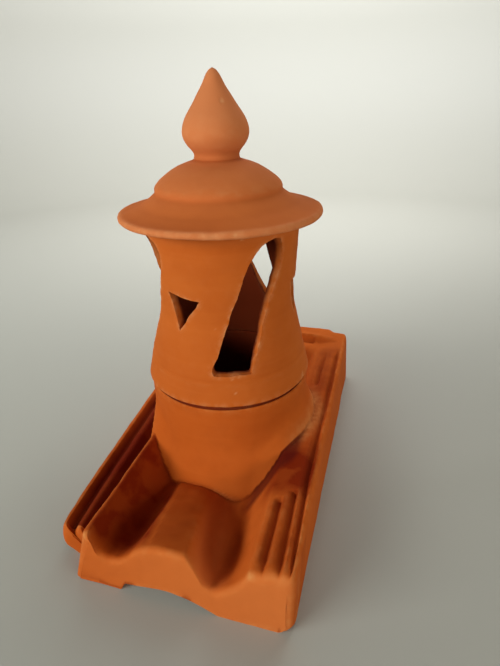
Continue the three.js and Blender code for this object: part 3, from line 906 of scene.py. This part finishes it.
def triangle_outline(spread):
    """Small triangle with its corners as (angle, height), going round with its points close together."""
    corners = np.array(TRIANGLE_CORNERS, float)[::-1] * [spread, 1]
    t = np.linspace(0, 1, OUTLINE_STEPS // 2)[:-1, None]
    return np.vstack([mix(a, b, t) for a, b in zip(corners, np.roll(corners, -1, axis=0))])


def window_cutter(name, outline, turn, slant):
    """Prism whose outline of (angle, height) runs out from the flue, leaning by slant as it rises."""
    angle, height = np.asarray(outline, float).T
    radians = np.radians(angle + turn + slant * (height - LEAF_MIDDLE_Z))
    reach = np.linspace(*WINDOW_REACH, CUTTER_STEPS)[:, None]
    level = np.ones_like(reach) * (height + LANTERN_Z)
    points = np.stack([reach * np.sin(radians), -reach * np.cos(radians), level], -1)
    count = len(outline)
    faces = grid_faces(CUTTER_STEPS, count, wrap_columns=True).tolist()
    inner_cap = list(range(count))[::-1]
    outer_cap = [k + (CUTTER_STEPS - 1) * count for k in range(count)]
    cutter = mesh_object(name, points.reshape(-1, 3), faces + [inner_cap, outer_cap])
    roughen(cutter, WINDOW_SWELLS)
    return cutter


def lantern_body():
    """Turned hollow body with throwing rings, a dent at each knock, and a hat that leans a little."""
    lantern = turned_body("clay_lantern_cap", lantern_profile() + np.array([0, LANTERN_Z]))
    points = read_points(lantern)
    height = points[:, 2] - LANTERN_Z
    rings = sum(swell * np.sin(height / pitch + phase) for swell, pitch, phase in THROWING_RINGS)
    _, dents = knock_share(points)
    points = points + read_normals(lantern) * (rings - dents)[:, None]
    points[:, :2] += ease(share(*HAT_LEAN_Z, height))[:, None] * HAT_LEAN
    write_points(lantern, points)
    roughen(lantern, LANTERN_SWELLS)
    return lantern


def store_lantern_marks(lantern):
    """Stores the painted shade inside the wall as 'inside', the knocks as pale marks, the painted light on
    the hat and its brim as the lighter tone, and no painted shade as 'shade'."""
    points = read_points(lantern)
    radius = np.hypot(points[:, 0], points[:, 1])
    height = points[:, 2] - LANTERN_Z
    outer_radius, outer_z = outer_profile().T
    depth = np.interp(height, outer_z, outer_radius) - radius
    knocks, _ = knock_share(points)
    on_brim = BRIM_PAINTED_LIGHT * share(*BRIM_PAINTED_LIGHT_RADIUS, radius)
    store(lantern, "inside", ease(share(*LANTERN_SHADE_DEPTH, depth)) * (height < CAVITY_TOP_Z))
    store(lantern, "knock_and_highlight", knocks)
    # Painted light on the hat and its brim
    store(lantern, "lighter_tone", np.maximum(share(*HAT_PAINTED_LIGHT_Z, height), on_brim))
    store(lantern, "shade", np.zeros(len(points)))


def lantern_cap():
    """The lantern: the turned body pierced by leaves and triangles."""
    lantern = lantern_body()
    for k, (turn, slant, half) in enumerate(LEAVES):
        combine(lantern, window_cutter(f"leaf_{k}", leaf_outline(half), turn, slant), "DIFFERENCE")
    for k, (turn, spread) in enumerate(TRIANGLES):
        combine(lantern, window_cutter(f"triangle_{k}", triangle_outline(spread), turn, 0), "DIFFERENCE")
    crisp(lantern)
    store_relief(lantern)
    store_lantern_marks(lantern)
    return lantern


class Socket:
    """A shader value that takes part in Python sums: every operation adds its Math node."""

    def __init__(self, tree, socket):
        self.tree = tree
        self.socket = socket

    def math(self, operation, first, second):
        return self.tree.node("ShaderNodeMath", {"operation": operation}, {0: first, 1: second})["Value"]

    def __add__(self, other):
        return self.math("ADD", self, other)

    def __radd__(self, other):
        return self.math("ADD", other, self)

    def __sub__(self, other):
        return self.math("SUBTRACT", self, other)

    def __rsub__(self, other):
        return self.math("SUBTRACT", other, self)

    def __mul__(self, other):
        return self.math("MULTIPLY", self, other)

    def __rmul__(self, other):
        return self.math("MULTIPLY", other, self)


class Outputs:
    """Outputs of a node by name or number, each as a Socket."""

    def __init__(self, tree, node):
        self.tree = tree
        self.node = node

    def __getitem__(self, name):
        return Socket(self.tree, self.node.outputs[name])


class Tree:
    """Node tree of one material."""

    def __init__(self, material):
        material.use_nodes = True
        self.nodes = material.node_tree.nodes
        self.links = material.node_tree.links
        self.shader = self.nodes["Principled BSDF"]
        self.places = self.node("ShaderNodeTexCoord", {}, {})["Object"]

    def node(self, kind, settings, sockets):
        """Adds a node, makes its settings, then sets or links its sockets."""
        made = self.nodes.new(kind)
        for name, value in settings.items():
            setattr(made, name, value)
        for name, value in sockets.items():
            self.feed(made.inputs[name], value)
        return Outputs(self, made)

    def feed(self, target, value):
        """Links a Socket to the target, or sets a plain value on it."""
        if isinstance(value, Socket):
            self.links.new(value.socket, target)
        else:
            target.default_value = value

    def noise(self, scale, detail, stretch=(1, 1, 1)):
        """Noise of about 0 to 1 with its features about 1/scale metres apart, squeezed along the axes."""
        places = self.node("ShaderNodeMapping", {}, {"Vector": self.places, "Scale": stretch})["Vector"]
        sockets = {"Vector": places, "Scale": scale, "Detail": detail}
        return self.node("ShaderNodeTexNoise", {}, sockets)["Fac"]

    def marks(self, scale, detail, low, high, stretch=(1, 1, 1)):
        """Marks made from noise: 0 where it is below low and 1 where it is above high, smooth in between."""
        sockets = {"Value": self.noise(scale, detail, stretch), "From Min": low, "From Max": high}
        return self.node("ShaderNodeMapRange", {"interpolation_type": "SMOOTHSTEP"}, sockets)["Result"]

    def attribute(self, name):
        """Value stored at the points of the piece."""
        return self.node("ShaderNodeAttribute", {"attribute_name": name}, {})["Fac"]

    def blend(self, amount, first, second):
        """Colour from first to second by an amount from 0 to 1."""
        settings = {"data_type": "RGBA", "clamp_factor": True}
        return self.node("ShaderNodeMix", settings, {0: amount, 6: first, 7: second})[2]


# Marks in the clay: features to a metre, detail, and the levels of noise between which the mark grows
CLOUDS = (9, 3, 0.35, 0.68)
PATCHES = (34, 5, 0.4, 0.72)
STREAKS = (30, 3, 0.45, 0.75)
STREAK_STRETCH = (0.25, 0.25, 5)
MOTTLE = (120, 4, 0.35, 0.7)

# How far each mark covers the colour below it, and how much of that goes by patches or mottle
CLOUD_COVER = 0.7
PATCH_COVER = 0.12
STREAK_COVER = 0.2
HOLLOW_SHADE_COVER = 0.5
SHADE_COVER = 0.75
SHADE_PATCHES = 0.5
EDGE_COVER = 0.5
KNOCK_COVER = 0.4
KNOCK_MOTTLE = 0.5
# Near-black painted shade in the flue, the seam, the cleft by the collar, the side lock and the lantern
INSIDE_SHADE_COVER = 0.85
INSIDE_SHADE_COLOUR = (0.09, 0.006, 0.003, 1)

# Grain and pores, as features to a metre and detail, and the matt surface that they make
GRAIN = (1400, 3)
PORES = (420, 4)
PORE_SHARE = 0.5
ROUGHNESS = 0.78
GRAIN_ROUGHNESS = 0.14
BUMP_STRENGTH = 0.2
BUMP_DISTANCE = 0.0005
SPECULAR_LEVEL = 0.06


def fired_clay(name, body, bright, lighter, deep, pale):
    """Unglazed terracotta: clouded body colour, paler in places with painted light, darker in hollows with
    grime and painted shade, darker with stored painted shade and inside, paler on edges, knocks and a painted
    highlight."""
    material = bpy.data.materials.new(name)
    tree = Tree(material)
    patches = tree.marks(*PATCHES)
    mottle = tree.marks(*MOTTLE)
    grain = tree.noise(*GRAIN)
    painted_shade = tree.attribute("shade")
    colour = tree.blend(tree.marks(*CLOUDS) * CLOUD_COVER, body, bright)
    colour = tree.blend(patches * PATCH_COVER, colour, deep)
    colour = tree.blend(tree.marks(*STREAKS, STREAK_STRETCH) * STREAK_COVER, colour, bright)
    # Lighter tone: paler nose edge, and painted light on the flank of the rib, the hat and its brim
    colour = tree.blend(tree.attribute("lighter_tone"), colour, lighter)
    # Darker in hollows: partly grime, partly painted shade in creases
    colour = tree.blend(tree.attribute("hollow") * HOLLOW_SHADE_COVER, colour, deep)
    # Painted shade in the pans, on the rib and the roll, beside the collar and in the side lock
    colour = tree.blend(painted_shade * (SHADE_COVER + SHADE_PATCHES * patches), colour, deep)
    colour = tree.blend(tree.attribute("edge") * mottle * EDGE_COVER * (1 - painted_shade), colour, pale)
    # Pale knocks and chips, and on the tile a painted highlight along the joint of the collar and the roll
    colour = tree.blend(tree.attribute("knock_and_highlight") * (KNOCK_COVER + KNOCK_MOTTLE * mottle), colour, pale)
    # Near-black painted shade inside the flue, the seam, the cleft, the side lock and the lantern
    colour = tree.blend(tree.attribute("inside") * INSIDE_SHADE_COVER, colour, INSIDE_SHADE_COLOUR)
    height = mix(grain, tree.noise(*PORES), PORE_SHARE)
    sockets = {"Strength": BUMP_STRENGTH, "Distance": BUMP_DISTANCE, "Height": height}
    tree.feed(tree.shader.inputs["Base Color"], colour)
    tree.feed(tree.shader.inputs["Roughness"], ROUGHNESS + GRAIN_ROUGHNESS * grain)
    tree.feed(tree.shader.inputs["Normal"], tree.node("ShaderNodeBump", {}, sockets)["Normal"])
    tree.feed(tree.shader.inputs["Specular IOR Level"], SPECULAR_LEVEL)
    return material


def finish_piece(piece, node, material):
    """Puts the finish on a piece and lets it stand for its CAD node."""
    piece.data.materials.clear()
    piece.data.materials.append(material)
    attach(piece, "root")
    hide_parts(node)


tile_clay = fired_clay(
    "tile_clay",
    body=(0.49, 0.09, 0.009, 1),
    bright=(0.56, 0.118, 0.015, 1),
    lighter=(0.6, 0.15, 0.03, 1),
    deep=(0.2, 0.017, 0.001, 1),
    pale=(0.64, 0.25, 0.07, 1),
)
lantern_clay = fired_clay(
    "lantern_clay",
    body=(0.5, 0.104, 0.013, 1),
    bright=(0.57, 0.136, 0.02, 1),
    lighter=(0.64, 0.2, 0.066, 1),
    deep=(0.3, 0.045, 0.004, 1),
    pale=(0.68, 0.32, 0.13, 1),
)
finish_piece(vent_tile(), "vent_tile", tile_clay)
finish_piece(lantern_cap(), "lantern_cap", lantern_clay)

# Stage, in metres: a pale floor that sweeps up into a wall all round
FLOOR_RADIUS = 1.6
SWEEP_RADIUS = 0.7
SWEEP_STEPS = 24
WALL_HEIGHT = 2.6
FLOOR_COLOUR = (0.36, 0.35, 0.29, 1)
FLOOR_ROUGHNESS = 0.6

# Lights, in metres and watts: name, place, aim, width, height, power, colour
MIDDLE = (0, -0.05, 0.2)
LIGHTS = (
    ("window", (-1.0, -1.28, 0.8), MIDDLE, 1.1, 0.5, 23.4, (0.94, 1.0, 1.05)),
    ("sky", (-1.55, -0.1, 0.6), MIDDLE, 0.8, 0.5, 1.5, (0.8, 1.0, 1.1)),
    ("front", (0.2, -1.6, 0.45), MIDDLE, 1.2, 0.4, 3, (1.0, 0.98, 0.95)),
    ("room", (1.35, -0.75, 0.5), MIDDLE, 1.0, 0.4, 7, (1.0, 0.97, 0.94)),
    ("back", (0.25, 0.75, 1.25), MIDDLE, 0.8, 0.8, 4, (0.95, 0.98, 1.0)),
    ("floor", (-0.3, 1.3, 1.5), (-0.3, 1.4, 0.0), 2.0, 1.4, 10, (1.0, 1.0, 1.06)),
    ("backdrop", (0.0, 0.9, 1.6), (-0.7, 2.3, 0.7), 1.2, 1.2, 54, (0.97, 1.0, 1.1)),
)
WORLD_COLOUR = (0.9, 0.92, 0.93, 1)
WORLD_STRENGTH = 0.03

# Camera: where it stands from the flue axis in millimetres, how it is turned, and its focal length in pixels
# of a 500 x 666 image
EYE = np.array([150.9, -418.5, 385.8])
PITCH, ROLL, YAW = np.radians([27.22, -1.75, 16.76])
FOCAL_PIXELS = 460
IMAGE_HEIGHT = 666
SENSOR = 36
CLIP_START = 0.01


def studio_floor():
    """Bowl: a flat disc whose edge turns up through a quarter circle into a round wall."""
    quarter = np.linspace(0, np.pi / 2, SWEEP_STEPS)
    bend_radius = FLOOR_RADIUS + SWEEP_RADIUS * np.sin(quarter)
    bend = np.stack([bend_radius, SWEEP_RADIUS * (1 - np.cos(quarter))], -1)
    profile = np.vstack([[[FLOOR_RADIUS / 2, 0]], bend, [[FLOOR_RADIUS + SWEEP_RADIUS, WALL_HEIGHT]]])
    rings = ring_points(profile / MM, even_angles())
    faces = grid_faces(len(profile), ROUND_SIDES, wrap_columns=True)[:, ::-1].tolist()
    faces.append(list(range(ROUND_SIDES)))
    floor = mesh_object("studio_floor", rings.reshape(-1, 3), faces)
    floor.data.shade_smooth()
    paint = bpy.data.materials.new("pale_floor")
    paint.use_nodes = True
    paint.node_tree.nodes["Principled BSDF"].inputs["Base Color"].default_value = FLOOR_COLOUR
    paint.node_tree.nodes["Principled BSDF"].inputs["Roughness"].default_value = FLOOR_ROUGHNESS
    floor.data.materials.append(paint)


def soft_light(name, place, target, width, height, power, colour):
    """Flat area light of a given width and height at a place, aimed at a target."""
    lamp = bpy.data.lights.new(name, "AREA")
    lamp.shape = "RECTANGLE"
    lamp.size = width
    lamp.size_y = height
    lamp.energy = power
    lamp.color = colour
    light = bpy.data.objects.new(name, lamp)
    bpy.context.scene.collection.objects.link(light)
    light.location = place
    light.rotation_euler = (Vector(target) - Vector(place)).to_track_quat("-Z", "Y").to_euler()
    light.visible_camera = False


def studio_world():
    """Faint even light from all round."""
    world = bpy.data.worlds.new("studio")
    world.use_nodes = True
    world.node_tree.nodes["Background"].inputs["Color"].default_value = WORLD_COLOUR
    world.node_tree.nodes["Background"].inputs["Strength"].default_value = WORLD_STRENGTH
    bpy.context.scene.world = world


def front_camera():
    """Camera at the eye: rolled, then pitched down, then turned about the upright axis."""
    lens = bpy.data.cameras.new("camera")
    lens.sensor_width = SENSOR
    lens.lens = FOCAL_PIXELS * SENSOR / IMAGE_HEIGHT
    lens.clip_start = CLIP_START
    camera = bpy.data.objects.new("camera", lens)
    bpy.context.scene.collection.objects.link(camera)
    turn = Matrix.Rotation(YAW, 4, "Z")
    turn = turn @ Matrix.Rotation(math.pi / 2 - PITCH, 4, "X")
    turn = turn @ Matrix.Rotation(ROLL, 4, "Z")
    camera.matrix_world = Matrix.Translation(EYE * MM + FLUE_AXIS) @ turn
    bpy.context.scene.camera = camera


studio_floor()
for light in LIGHTS:
    soft_light(*light)
studio_world()
front_camera()
bpy.context.scene.view_settings.view_transform = "Standard"
